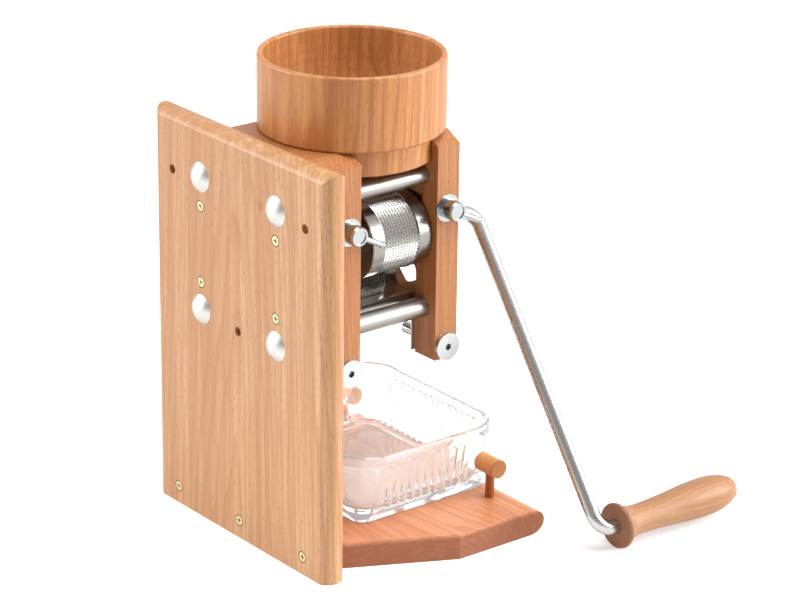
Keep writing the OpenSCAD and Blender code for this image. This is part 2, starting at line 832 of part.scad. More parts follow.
// Turned grip: a disc, a slim neck and a swelling that ends in a blunt dome
disc_t = 4;
grip_end_r = 7.6;
grip_shape = [
    [disc_t, grip_disc_d / 2 - 2], [8.5, 11.8], [17, 10.3], [31, 10.4], [47, 11.3], [63, 12.6],
    [77, 13.1], [88, 12.7], [97, 10.9], [grip_len - 1.6, grip_end_r + 0.7]
];
module crank_grip() {
    disc_r = grip_disc_d / 2;
    edge = disc_t / 2 - 0.5;
    outline = concat(
        [[0, 0], [disc_r - edge, 0]],
        [for (a = [-90 : 15 : 90]) [disc_r - edge + edge * cos(a), disc_t / 2 * (1 + sin(a))]],
        [for (p = smooth(grip_shape, 5)) [p[1], p[0]]],
        [[grip_end_r + 0.7, grip_len - 1.6], [grip_end_r, grip_len - 0.5], [grip_end_r - 1, grip_len], [0, grip_len]]
    );
    color("wheat")
        in_crank()
            translate([0, -grip_start, -crank_len])
                rotate([90, 0, 0])
                    difference() {
                        rotate_extrude()
                            polygon(outline);
                        translate([0, 0, -eps])
                            cylinder(h = grip_len - grip_pocket + grip_fit + eps, d = crank_d + 2 * grip_fit);
                        translate([0, 0, grip_len - grip_pocket - grip_fit])
                            cylinder(h = grip_pocket + eps, d = grip_head_d + 2 * grip_fit);
                    }
}

// Adjusting spindle: a collar outside and a plain shank up to the bearing slide
module adjuster(y) {
    tip_x = drive_x - slide_w / 2 - slide_travel - 0.1;
    bar_x(-mill_w / 2, tip_x + mill_w / 2, spindle_d, y, adjuster_z);
    translate([-mill_w / 2 - 0.2, -y, adjuster_z])
        rotate([0, -90, 0]) {
            difference() {
                union() {
                    cylinder(h = collar_len - collar_rim, d = collar_d);
                    translate([0, 0, collar_len - collar_rim])
                        cylinder(h = collar_rim, d1 = collar_d, d2 = collar_d - collar_rim);
                }
                translate([0, 0, collar_len - collar_recess])
                    cylinder(h = collar_recess + eps, d = collar_d - 2 * collar_rim - 1);
            }
            translate([0, 0, -0.2])
                cylinder(h = 0.2, d = spindle_d);
        }
}
// Lever on the collar: a tapered finger that points forwards and down, with a small ball at its tip
module lever(y) {
    translate([-mill_w / 2 - collar_len / 2 - 1, -y, adjuster_z])
        rotate([90 + lever_drop, 0, 0])
            difference() {
                union() {
                    cylinder(h = lever_len, d1 = lever_d, d2 = lever_tip_d);
                    translate([0, 0, lever_len])
                        sphere(d = lever_tip_d + 0.8, $fn = 32);
                }
                rotate([-90 - lever_drop, 0, 0])
                    rotate([0, 90, 0])
                        cylinder(h = 4 * lever_d, d = collar_d, center = true);
            }
}
module rear_adjuster() {
    color("silver")
        adjuster(gap_y - adjuster_inset);
}
module front_adjuster() {
    color("silver")
        adjuster(front_y + adjuster_inset);
}
module rear_lever() {
    color("gray")
        lever(gap_y - adjuster_inset);
}
module front_lever() {
    color("gray")
        lever(front_y + adjuster_inset);
}

// Hopper: turned bowl with a thin rounded lip, a neck that drops into the seat, and a round throat
module hopper() {
    hopper_r = hopper_d / 2;
    neck_r = neck_d / 2;
    throat_r = throat_d / 2;
    lip_z = hopper_top_z - lip_t / 2;
    bowl_r = hopper_r - lip_t;
    bowl = [
        for (a = [0 : 7.5 : 90])
            [throat_r + (bowl_r - throat_r) * pow(sin(a), 0.8), lip_z - (lip_z - hopper_floor_z - 5) * (1 - pow(1 - cos(a), 0.9))]
    ];
    color("tan")
        translate([0, -hopper_forward, 0])
            rotate_extrude($fn = 128)
                union() {
                    difference() {
                        polygon([
                            [0, hopper_floor_z],
                            [neck_r - 1, hopper_floor_z],
                            [neck_r, hopper_floor_z + 1],
                            [neck_r, mill_top_z],
                            [hopper_r - 1.5, mill_top_z],
                            [hopper_r, mill_top_z + 1.5],
                            [hopper_r, lip_z],
                            [0, lip_z]
                        ]);
                        polygon(concat([[0, hopper_floor_z - 1], [throat_r, hopper_floor_z - 1]], bowl, [[0, lip_z]]));
                        translate([0, lip_z - eps])
                            square([bowl_r, 2 * eps]);
                    }
                    translate([hopper_r - lip_t / 2, lip_z])
                        circle(d = lip_t, $fn = 32);
                }
}

// Point at the share u, from 0 to 1, of a rounded rectangle of half sizes hx and hy and corner radius r
function rounded(u, hx, hy, r) =
    let (
        a = 2 * (hx - r),
        b = 2 * (hy - r),
        c = PI * r / 2,
        whole = 2 * (a + b) + 4 * c,
        s = u * whole,
        half = a + b + 2 * c,
        turned = s >= half,
        t = turned ? s - half : s,
        p = t < a ? [-a / 2 + t, -hy]
            : t < a + c ? [a / 2 + r * sin((t - a) / c * 90), -hy + r - r * cos((t - a) / c * 90)]
            : t < a + c + b ? [hx, -b / 2 + (t - a - c)]
            : [hx - r + r * cos((t - a - c - b) / c * 90), b / 2 + r * sin((t - a - c - b) / c * 90)]
    )
    turned ? -p : p;
// Dish rings, from the middle of the foot up the outside, over the rim and down the inside:
// [height, how far the wall stands in from the rim's outline, share of the ribs' height]
dish_rings = [
    [0, dish_lean + 5, 0], [0.8, dish_lean + 1.6, 0], [3, dish_lean + 0.3, 0], [dish_base, dish_lean, 1],
    [dish_h - rim_band, band_in, 1], [dish_h - rim_band + 1, band_in - 1, 0], [dish_h - 1.5, 0, 0],
    [dish_h - 0.3, 0.8, 0], [dish_h - 0.3, dish_wall - 0.8, 0], [dish_h - 1.5, dish_wall, 0],
    [dish_h - rim_band, dish_wall + 0.6, 0], [dish_base + 8, dish_lean + dish_wall - 0.6, 0],
    [dish_base + 2.4, dish_lean + dish_wall + 2, 0], [dish_base, dish_lean + dish_wall + 7, 0]
];
dish_steps = 2 * rib_count;
module glass_dish() {
    rings = len(dish_rings);
    walls = [
        for (ring = dish_rings)
            for (k = [0 : dish_steps - 1])
                let (
                    inset = ring[1] + (k % 2) * ring[2] * rib_depth,
                    q = rounded(k / dish_steps, dish_w / 2 - inset, dish_depth / 2 - inset,
                                max(dish_corner - inset, 4))
                )
                    [q[0], q[1], ring[0]]
    ];
    centres = [[0, 0, dish_rings[0][0]], [0, 0, dish_rings[rings - 1][0]]];
    count = rings * dish_steps;
    faces = concat(
        [for (i = [0 : rings - 2], k = [0 : dish_steps - 1])
            [i * dish_steps + k, (i + 1) * dish_steps + k, i * dish_steps + (k + 1) % dish_steps]],
        [for (i = [0 : rings - 2], k = [0 : dish_steps - 1])
            [i * dish_steps + (k + 1) % dish_steps, (i + 1) * dish_steps + k, (i + 1) * dish_steps + (k + 1) % dish_steps]],
        [for (k = [0 : dish_steps - 1]) [count, k, (k + 1) % dish_steps]],
        [for (k = [0 : dish_steps - 1])
            [count + 1, (rings - 1) * dish_steps + (k + 1) % dish_steps, (rings - 1) * dish_steps + k]]
    );
    color("lightcyan", 0.5)
        translate([0, -dish_y, shelf_t + dish_gap])
            polyhedron(points = concat(walls, centres), faces = faces, convexity = 6);
}

wall_plate();
rear_block();
front_plate();
upper_rods();
lower_rods();
carriage_bolts();
front_bolts();
block_screws();
shelf();
shelf_screws();
stop_posts();
stop_bars();
side_bolts();
sleeve_nuts();
near_scraper();
far_scraper();
adjuster_inserts();
idle_bushes();
rear_bearing_slide();
front_bearing_slide();
drive_shaft();
drive_roller();
drive_spacers();
crank_rod();
grip_screw();
crank_grip();
idle_shaft();
idle_roller();
idle_spacers();
rear_adjuster();
rear_lever();
front_adjuster();
front_lever();
hopper();
glass_dish();
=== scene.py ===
# A hand-cranked grain flaker of beech and polished steel, with a glass dish on its shelf.
# Metres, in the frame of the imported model: +Z up, the wall at +Y, the crank towards -X.
import math

import bmesh
import bpy
from mathutils import Matrix, Vector


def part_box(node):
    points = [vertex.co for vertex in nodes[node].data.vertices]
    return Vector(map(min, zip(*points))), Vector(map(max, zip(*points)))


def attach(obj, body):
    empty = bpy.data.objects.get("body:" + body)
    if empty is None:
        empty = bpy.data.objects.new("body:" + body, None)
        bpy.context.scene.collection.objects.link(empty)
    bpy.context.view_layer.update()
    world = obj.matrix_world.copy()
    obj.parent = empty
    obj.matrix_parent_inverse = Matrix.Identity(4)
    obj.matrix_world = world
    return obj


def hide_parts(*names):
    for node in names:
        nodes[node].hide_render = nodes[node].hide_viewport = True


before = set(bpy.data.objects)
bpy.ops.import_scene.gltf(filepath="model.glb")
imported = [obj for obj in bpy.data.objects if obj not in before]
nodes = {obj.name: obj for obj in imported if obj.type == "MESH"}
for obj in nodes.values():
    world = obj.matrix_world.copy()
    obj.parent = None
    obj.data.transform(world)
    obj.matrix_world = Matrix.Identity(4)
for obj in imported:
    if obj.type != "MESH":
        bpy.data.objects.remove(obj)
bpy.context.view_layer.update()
bpy.context.scene.view_settings.view_transform = "Standard"


# Wall plate
# An upright board of pale oiled beech with flat grain, rounded at its sides and top. The mill and the
# shelf are fixed to it from behind.
def put(tree, kind, sockets=None, **settings):
    """Adds a node with its settings, and its sockets as values or as links from other sockets."""
    node = tree.nodes.new(kind)
    for key, value in settings.items():
        setattr(node, key, value)
    for key, value in (sockets or {}).items():
        if isinstance(value, bpy.types.NodeSocket):
            tree.links.new(value, node.inputs[key])
        else:
            node.inputs[key].default_value = value
    return node


def figure(tree, operation, *values):
    """A Math node's result."""
    return put(tree, "ShaderNodeMath", dict(enumerate(values)), operation=operation).outputs[0]


def vector(tree, operation, *values):
    """A Vector Math node's vector."""
    return put(tree, "ShaderNodeVectorMath", dict(enumerate(values)), operation=operation).outputs[0]


def measured(tree, operation, *values):
    """A Vector Math node's number: a length, a distance or a dot product."""
    return put(tree, "ShaderNodeVectorMath", dict(enumerate(values)), operation=operation).outputs["Value"]


def tinted(tree, share, a, b):
    """The colour of a Mix node that blends a with b."""
    return put(tree, "ShaderNodeMix", {0: share, 6: a, 7: b}, data_type="RGBA").outputs[2]


def ramp(tree, value, *stops):
    """A grey from 0 to 1 that follows the stops, each a place and a grey."""
    node = put(tree, "ShaderNodeValToRGB", {0: value})
    elements = node.color_ramp.elements
    while len(elements) < len(stops):
        elements.new(0.5)
    for element, (place, grey) in zip(elements, stops):
        element.position = place
        element.color = (grey, grey, grey, 1)
    return node.outputs[0]


def noise(tree, place, scale, detail=2, roughness=0.5):
    """A cloudy pattern from 0 to 1, which a larger scale makes finer."""
    sockets = {"Vector": place, "Scale": scale, "Detail": detail, "Roughness": roughness}
    return put(tree, "ShaderNodeTexNoise", sockets).outputs["Fac"]


def new_material(name):
    """A new material, its node tree and its surface shader."""
    material = bpy.data.materials.new(name)
    material.use_nodes = True
    return material, material.node_tree, material.node_tree.nodes["Principled BSDF"]


def dress(name, material):
    """Gives a carried-over node its material."""
    piece = nodes[name]
    piece.data.materials.clear()
    piece.data.materials.append(material)


def cover(material, share, colour):
    """Covers a material's colour with another one by the share."""
    tree = material.node_tree
    surface = tree.nodes["Principled BSDF"]
    bare = surface.inputs["Base Color"].links[0].from_socket
    tree.links.new(tinted(tree, share, bare, (*colour, 1)), surface.inputs["Base Color"])


def own_place(tree):
    """The place of a point in its object's own axes."""
    return put(tree, "ShaderNodeTexCoord").outputs["Object"]


def part_of_place(tree, axis):
    """One coordinate of the object's own place: 0, 1 or 2 for X, Y or Z."""
    return put(tree, "ShaderNodeSeparateXYZ", {0: own_place(tree)}).outputs[axis]


# Turns metres into centimetres, because the stops of a ramp lie between 0 and 1
CENTIMETRES = 100
# How fast a log narrows along its grain, and how far its rings wander from round
LOG_TAPER, RING_WANDER = 0.04, 0.03
# How much a length along the grain counts beside one across it, for slow changes, streaks and flecks
LONG_GRAIN, FINE_GRAIN, SHORT_GRAIN = (1, 1, 0.09), (1, 1, 0.02), (1, 1, 0.14)
# How closely the rings' wandering, the patches of tone, bands, streaks and flecks follow each other
WANDERS, TONES, BANDS, STREAKS, FLECKS = 22, 14, 170, 900, 1500
# How strongly bands, streaks and flecks darken the wood, and a fleck's colour beside that of late wood
BAND_SHARE, STREAK_SHARE, FLECK_SHARE, FLECK_SHADE = 0.55, 0.6, 0.5, 0.72
# How much the streaks change the roughness, and what is taken off to keep its middle in place
STREAK_ROUGHNESS, ROUGHNESS_OFF = 0.15, 0.07
# How deep a fleck lies beside a streak's height
FLECK_SINK = 0.6


def oiled_wood(name, heart, grain_turn, light, dark, ring=0.0045, ring_share=0.7, rough=0.36):
    """Oiled wood from a log whose heart passes through the point heart. grain_turn turns the object's
    axes so that the grain runs along Z, and ring is the distance between two year rings."""
    material, tree, surface = new_material(name)
    centred = vector(tree, "SUBTRACT", own_place(tree), heart)
    turned = put(tree, "ShaderNodeMapping", {"Vector": centred, "Rotation": grain_turn}).outputs[0]
    long_grain = vector(tree, "MULTIPLY", turned, LONG_GRAIN)
    fine_grain = vector(tree, "MULTIPLY", turned, FINE_GRAIN)
    short_grain = vector(tree, "MULTIPLY", turned, SHORT_GRAIN)

    wander = figure(tree, "MULTIPLY", noise(tree, long_grain, WANDERS), RING_WANDER)
    parts = put(tree, "ShaderNodeSeparateXYZ", {0: turned}).outputs
    across = put(tree, "ShaderNodeCombineXYZ", {"X": parts[0], "Y": parts[1]}).outputs[0]
    radius = figure(tree, "MULTIPLY_ADD", parts[2], LOG_TAPER, measured(tree, "LENGTH", across))
    rings = figure(tree, "FRACT", figure(tree, "DIVIDE", figure(tree, "ADD", radius, wander), ring))
    late = ramp(tree, rings, (0.0, 0.0), (0.55, 0.15), (0.9, 1.0), (1.0, 0.0))
    tone = ramp(tree, noise(tree, long_grain, TONES, 3), (0.3, 0.0), (0.7, 1.0))
    bands = ramp(tree, noise(tree, fine_grain, BANDS), (0.38, 1.0), (0.58, 0.0))
    streaks = noise(tree, fine_grain, STREAKS, 3, 0.6)
    flecks = ramp(tree, noise(tree, short_grain, FLECKS, 1), (0.60, 0.0), (0.70, 1.0))

    def over(base, share, weight, colour):
        """The base colour under another one, which shows by its share times a weight."""
        return tinted(tree, figure(tree, "MULTIPLY", share, weight), base, (*colour, 1))

    middle = [0.5 * (a + b) for a, b in zip(light, dark)]
    base = tinted(tree, tone, (*light, 1), (*middle, 1))
    base = over(base, late, ring_share, dark)
    base = over(base, bands, BAND_SHARE, dark)
    base = over(base, ramp(tree, streaks, (0.32, 1.0), (0.58, 0.0)), STREAK_SHARE, dark)
    base = over(base, flecks, FLECK_SHARE, [FLECK_SHADE * c for c in dark])
    tree.links.new(base, surface.inputs["Base Color"])
    roughness = figure(tree, "MULTIPLY_ADD", streaks, STREAK_ROUGHNESS, rough - ROUGHNESS_OFF)
    tree.links.new(roughness, surface.inputs["Roughness"])
    height = figure(tree, "SUBTRACT", streaks, figure(tree, "MULTIPLY", flecks, FLECK_SINK))
    bump = put(tree, "ShaderNodeBump", {"Strength": 0.25, "Distance": 0.0002, "Height": height})
    tree.links.new(bump.outputs[0], surface.inputs["Normal"])
    return material


UPRIGHT = (0, 0, 0)
plate_beech = oiled_wood("plate_beech", (0.012, 0.145, 0.05), UPRIGHT, light=(0.66, 0.39, 0.20),
                         dark=(0.41, 0.175, 0.063), ring_share=0.55)
# A small reddish knot on the back, near an upper bolt head, taller than it is wide
KNOT = (-0.0254, 0.0895, 0.2417)
KNOT_CLOSENESS = (280, 100, 170)
tree = plate_beech.node_tree
spot = vector(tree, "MULTIPLY", vector(tree, "SUBTRACT", own_place(tree), KNOT), KNOT_CLOSENESS)
redness = ramp(tree, measured(tree, "LENGTH", spot), (0.3, 0.8), (0.9, 0.0))
cover(plate_beech, redness, (0.40, 0.12, 0.03))
dress("wall_plate", plate_beech)


# Mill body
# A thick rear block and a front plate of darker beech, upright grain, with rings showing on the
# chamfered end grain.
mill_beech = oiled_wood("mill_beech", (0.020, 0.110, 0.0), UPRIGHT, light=(0.54, 0.24, 0.085),
                        dark=(0.34, 0.118, 0.035), ring=0.003)
dress("rear_block", mill_beech)
dress("front_plate", mill_beech)


# Shelf and stops
# The shelf is a reddish board with its grain from side to side, darker at its edges. Two bars on short
# posts keep the dish from sliding sideways.
ALONG_X = (0, math.radians(-90), 0)
shelf_wood = oiled_wood("shelf_wood", (0, 0.02, -0.06), ALONG_X, light=(0.82, 0.37, 0.18),
                        dark=(0.50, 0.17, 0.065), ring=0.004)
dress("shelf", shelf_wood)
# The shelf is darker from just below its top
SHELF_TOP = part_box("shelf")[1][2]
tree = shelf_wood.node_tree
below = figure(tree, "SUBTRACT", SHELF_TOP, part_of_place(tree, 2))
edge = ramp(tree, figure(tree, "MULTIPLY", below, CENTIMETRES), (0.05, 0.0), (0.3, 0.7))
cover(shelf_wood, edge, (0.20, 0.045, 0.012))

bar_wood = oiled_wood("bar_wood", (0, -0.05, 0.05), ALONG_X, light=(0.95, 0.44, 0.12),
                      dark=(0.56, 0.21, 0.06), ring=0.002)
dress("stop_bars", bar_wood)
# The bars' outer ends show end grain, which is darker
BAR_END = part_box("stop_bars")[1][0] - 0.0008
END_SHARE = 0.8
tree = bar_wood.node_tree
at_end = figure(tree, "GREATER_THAN", figure(tree, "ABSOLUTE", part_of_place(tree, 0)), BAR_END)
cover(bar_wood, figure(tree, "MULTIPLY", at_end, END_SHARE), (0.36, 0.13, 0.05))

post_wood = oiled_wood("post_wood", (0.1, -0.05, 0.0), UPRIGHT, light=(0.50, 0.15, 0.03),
                       dark=(0.30, 0.07, 0.014), ring=0.002)
dress("stop_posts", post_wood)


# Hopper
# Turned from one block of pale beech, with upright grain outside and rings round the bowl.
hopper_beech = oiled_wood("hopper_beech", (0.02, -0.11, 0.25), UPRIGHT, light=(0.66, 0.30, 0.105),
                          dark=(0.38, 0.13, 0.035), ring=0.006)
dress("hopper", hopper_beech)


# Grip
# Turned from pale wood along its grain, and waxed. The disc at the crank's end shows darker end grain.
ALONG_Y = (math.radians(90), 0, 0)
grip_wood = oiled_wood("grip_wood", (-0.19, 0.0, 0.03), ALONG_Y, light=(0.50, 0.265, 0.125),
                       dark=(0.33, 0.145, 0.058), ring=0.0025, rough=0.45)
dress("crank_grip", grip_wood)
GRIP_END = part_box("crank_grip")[1][1]
tree = grip_wood.node_tree
inwards = figure(tree, "SUBTRACT", GRIP_END, part_of_place(tree, 1))
end_grain = ramp(tree, figure(tree, "MULTIPLY", inwards, CENTIMETRES), (0.25, 0.75), (0.6, 0.0))
cover(grip_wood, end_grain, (0.24, 0.085, 0.035))


# Bright steel
# Rods, shafts, scrapers and rollers are polished stainless steel. Bolts, inserts and levers are bright
# zinc plated, and the crank is a plated rod with a softer gloss.
# Colour of the clouds in a metal's surface beside its own
CLOUD_SHADE = 0.94


def bright_metal(name, colour, rough, mottle=0.05, mottle_scale=400):
    """A metal whose roughness changes by mottle, in clouds that a larger mottle_scale makes finer."""
    material, tree, surface = new_material(name)
    cloud = noise(tree, own_place(tree), mottle_scale, 3)
    shade = tinted(tree, cloud, (*[CLOUD_SHADE * c for c in colour], 1), (*colour, 1))
    tree.links.new(shade, surface.inputs["Base Color"])
    roughness = figure(tree, "MULTIPLY_ADD", cloud, mottle, rough - mottle / 2)
    tree.links.new(roughness, surface.inputs["Roughness"])
    bump = put(tree, "ShaderNodeBump", {"Strength": 0.1, "Distance": 0.00005, "Height": cloud})
    tree.links.new(bump.outputs[0], surface.inputs["Normal"])
    surface.inputs["Metallic"].default_value = 1
    return material


def from_axes(tree, across, axes):
    """The distance from the nearest of some parallel axes. across is 1 in the two directions that lie
    across them, and 0 along them."""
    flat = vector(tree, "MULTIPLY", own_place(tree), across)
    nearest = 1.0
    for axis in axes:
        nearest = figure(tree, "MINIMUM", nearest, measured(tree, "DISTANCE", flat, axis))
    return nearest


polished_steel = bright_metal("polished_steel", (0.38, 0.365, 0.345), 0.36)
sheet_steel = bright_metal("sheet_steel", (0.56, 0.54, 0.51), 0.08, 0.04)
bolt_zinc = bright_metal("bolt_zinc", (0.64, 0.64, 0.60), 0.36, 0.08, 600)
side_zinc = bright_metal("side_zinc", (0.60, 0.62, 0.61), 0.26, 0.08, 600)
zinc_steel = bright_metal("zinc_steel", (0.46, 0.48, 0.48), 0.2, 0.1, 900)
crank_steel = bright_metal("crank_steel", (0.55, 0.54, 0.53), 0.28, 0.1, 900)
yellow_zinc = bright_metal("yellow_zinc", (0.86, 0.72, 0.42), 0.35)
bronze = bright_metal("bronze", (0.60, 0.40, 0.20), 0.3)
METAL_PIECES = (
    (polished_steel, ("upper_rods", "lower_rods", "drive_shaft", "idle_shaft")),
    (polished_steel, ("drive_spacers", "idle_spacers")),
    (sheet_steel, ("near_scraper", "far_scraper")),
    (zinc_steel, ("front_bolts", "sleeve_nuts", "adjuster_inserts", "grip_screw")),
    (zinc_steel, ("rear_adjuster", "rear_lever", "front_adjuster", "front_lever")),
    (crank_steel, ("crank_rod",)),
    (bolt_zinc, ("carriage_bolts",)),
    (side_zinc, ("side_bolts",)),
    (yellow_zinc, ("block_screws", "shelf_screws")),
    (bronze, ("idle_bushes", "rear_bearing_slide", "front_bearing_slide")),
)
for metal, names in METAL_PIECES:
    for name in names:
        dress(name, metal)

# Painted shade in the cross recesses of the wood screws, and a painted shadow in the gap round their
# heads, which lie flush with the plate's back
WALL_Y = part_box("wall_plate")[1][1]
BLOCK_SCREW_X, BLOCK_SCREW_Z = 0.0415, (0.223, 0.170)
SHELF_SCREW_X, SHELF_SCREW_Z = 0.0705, 0.0126
CROSS_DEPTH = 0.0002
screw_axes = [(x, 0, z) for x in (-BLOCK_SCREW_X, BLOCK_SCREW_X) for z in BLOCK_SCREW_Z]
screw_axes += [(x, 0, SHELF_SCREW_Z) for x in (-SHELF_SCREW_X, 0, SHELF_SCREW_X)]
tree = yellow_zinc.node_tree
off_axis = figure(tree, "MULTIPLY", from_axes(tree, (1, 0, 1), screw_axes), CENTIMETRES)
# Painted shadow in the gap round each head
rim = ramp(tree, off_axis, (0.30, 0.0), (0.36, 1.0))
# Painted shade in the cross recesses, below the plate's back
sunk = figure(tree, "LESS_THAN", part_of_place(tree, 1), WALL_Y - CROSS_DEPTH)
cover(yellow_zinc, figure(tree, "MAXIMUM", rim, sunk), (0.03, 0.02, 0.01))

# Painted shade in the hex sockets of the side bolts
SIDE_HEAD_R, SOCKET_R, SOCKET_DEPTH = 0.0095, 0.0027, 0.0003
bolts_low, bolts_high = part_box("side_bolts")
bolts_z = (bolts_low[2] + bolts_high[2]) / 2
side_axes = [(0, y, bolts_z) for y in (bolts_low[1] + SIDE_HEAD_R, bolts_high[1] - SIDE_HEAD_R)]
tree = side_zinc.node_tree
inside = figure(tree, "LESS_THAN", from_axes(tree, (0, 1, 1), side_axes), SOCKET_R)
sunk = figure(tree, "GREATER_THAN", part_of_place(tree, 0), bolts_low[0] + SOCKET_DEPTH)
# The painted shade, a dark blue grey, fills each socket below the head's face
cover(side_zinc, figure(tree, "MULTIPLY", inside, sunk), (0.20, 0.23, 0.26))


# Rollers
# Two turned steel rollers. Each has a polished band at both ends and a belt between them that is
# knurled with a cross pattern of small pyramids, a little below the bands.
ROLLER_R, ROLLER_LEN, BORE_R = 0.0255, 0.048, 0.006
BAND_LEN, CHAMFER = 0.010, 0.0006
# The belt: its core, the bottom of its grooves, the pyramids' height, and how many lie round and along it
CORE_R = 0.0240
KNURL_FLOOR = ROLLER_R - 0.0011
KNURL_RISE = 0.0009
KNURLS_ROUND, KNURLS_ALONG = 68, 12
# How far the belt and the roller reach into each other, and how finely the roller is turned
BELT_SEAT = 0.0001
ROLLER_STEPS, ROLLER_SMOOTH = 128, math.radians(25)


def start_shaping(piece):
    """Opens a new object's mesh with nothing selected."""
    bpy.ops.object.mode_set(mode="EDIT")
    bpy.ops.mesh.select_mode(type="VERT")
    bpy.ops.mesh.select_all(action="DESELECT")
    return bmesh.from_edit_mesh(piece.data)


def pick(piece, shape, wanted, kind="verts"):
    """Selects the vertices, edges or faces for which wanted is true, and nothing else."""
    bpy.ops.mesh.select_all(action="DESELECT")
    for part in getattr(shape, kind):
        part.select_set(bool(wanted(part)))
    if kind == "verts":
        shape.select_flush(True)
    bmesh.update_edit_mesh(piece.data)


def end_shaping(piece):
    """Merges doubles, turns the faces outwards and puts the object's place into its mesh."""
    bpy.ops.mesh.select_all(action="SELECT")
    bpy.ops.mesh.remove_doubles(threshold=1e-6)
    bpy.ops.mesh.normals_make_consistent(inside=False)
    bpy.ops.mesh.select_all(action="DESELECT")
    bpy.ops.object.mode_set(mode="OBJECT")
    bpy.ops.object.transform_apply(location=True, rotation=True, scale=True)


def turned_ring(name, outline, steps):
    """A closed outline of [radius, place] points, spun round the Z axis."""
    bpy.ops.object.select_all(action="DESELECT")
    bpy.ops.mesh.primitive_circle_add(vertices=len(outline), radius=1)
    piece = bpy.context.object
    piece.name = name
    shape = start_shaping(piece)
    for vertex, (radius, place) in zip(list(shape.verts), outline):
        vertex.co = (radius, 0, place)
    bmesh.update_edit_mesh(piece.data)
    bpy.ops.mesh.select_all(action="SELECT")
    bpy.ops.mesh.spin(steps=steps, angle=math.tau, center=(0, 0, 0), axis=(0, 0, 1))
    end_shaping(piece)
    return piece


def knurled_belt(name):
    """A ring of pyramids: the squares' corners and middles are grooves, the edges' middles are peaks."""
    length = ROLLER_LEN - 2 * BAND_LEN
    step = length / KNURLS_ALONG
    turn = math.tau / KNURLS_ROUND
    bpy.ops.object.select_all(action="DESELECT")
    bpy.ops.mesh.primitive_circle_add(
        vertices=KNURLS_ROUND, radius=KNURL_FLOOR, location=(0, 0, -length / 2))
    piece = bpy.context.object
    piece.name = name
    start_shaping(piece)
    bpy.ops.mesh.select_all(action="SELECT")
    for _ in range(KNURLS_ALONG):
        bpy.ops.mesh.extrude_region_move(TRANSFORM_OT_translate={"value": (0, 0, step)})
    bpy.ops.mesh.select_all(action="SELECT")
    bpy.ops.mesh.poke()
    bpy.ops.mesh.select_mode(type="EDGE")
    shape = bmesh.from_edit_mesh(piece.data)

    def of_square(edge):
        """True for a square's own edge, which climbs a whole step or none."""
        climb = abs(edge.verts[0].co.z - edge.verts[1].co.z)
        return climb < 0.1 * step or climb > 0.9 * step

    pick(piece, shape, of_square, "edges")
    bpy.ops.mesh.subdivide(number_cuts=1)
    bpy.ops.mesh.select_mode(type="VERT")
    shape = bmesh.from_edit_mesh(piece.data)

    def peak(vertex):
        """True for the middle of a square's edge, where one count of half steps is odd and one even."""
        halves_round = round(2 * math.atan2(vertex.co.y, vertex.co.x) / turn)
        halves_along = round(2 * vertex.co.z / step)
        return (halves_round + halves_along) % 2 == 1

    pick(piece, shape, peak)
    rise = 1 + KNURL_RISE / KNURL_FLOOR
    bpy.ops.transform.resize(value=(rise, rise, 1), center_override=(0, 0, 0))
    bpy.ops.mesh.select_mode(type="EDGE")
    shape = bmesh.from_edit_mesh(piece.data)
    pick(piece, shape, lambda e: e.is_boundary, "edges")
    inwards = CORE_R / KNURL_FLOOR
    bpy.ops.mesh.extrude_region_move()
    bpy.ops.transform.resize(value=(inwards, inwards, 1), center_override=(0, 0, 0))
    bpy.ops.mesh.bridge_edge_loops()
    end_shaping(piece)
    return piece


def roller(name, body, node):
    """One roller in place of its plain node, standing on the same axis."""
    low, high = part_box(node)
    middle = [(a + b) / 2 for a, b in zip(low, high)]
    half = ROLLER_LEN / 2
    inner = half - BAND_LEN
    core = CORE_R + BELT_SEAT
    outline = [
        (BORE_R, -half), (ROLLER_R - CHAMFER, -half), (ROLLER_R, -half + CHAMFER),
        (ROLLER_R, -inner - CHAMFER / 2), (ROLLER_R - CHAMFER / 2, -inner), (core, -inner),
        (core, inner), (ROLLER_R - CHAMFER / 2, inner), (ROLLER_R, inner + CHAMFER / 2),
        (ROLLER_R, half - CHAMFER), (ROLLER_R - CHAMFER, half), (BORE_R, half),
    ]
    piece = turned_ring(name, outline, ROLLER_STEPS)
    bpy.ops.object.shade_smooth_by_angle(angle=ROLLER_SMOOTH)
    belt = knurled_belt(name + "_belt")
    piece.data.materials.append(roller_steel)
    belt.data.materials.append(knurled_steel(name + "_knurl", middle))
    bpy.ops.object.select_all(action="DESELECT")
    belt.select_set(True)
    piece.select_set(True)
    bpy.context.view_layer.objects.active = piece
    bpy.ops.object.join()
    piece.rotation_euler = (math.radians(90), 0, 0)
    piece.location = middle
    bpy.ops.object.transform_apply(location=True, rotation=True, scale=True)
    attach(piece, body)
    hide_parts(node)


# The grooves that climb each way and how strongly painted shade darkens them, and their half width beside
# a whole step
SHADED_GROOVES = (("ADD", 0.85), ("SUBTRACT", 0.35))
GROOVE_HALF = 0.3


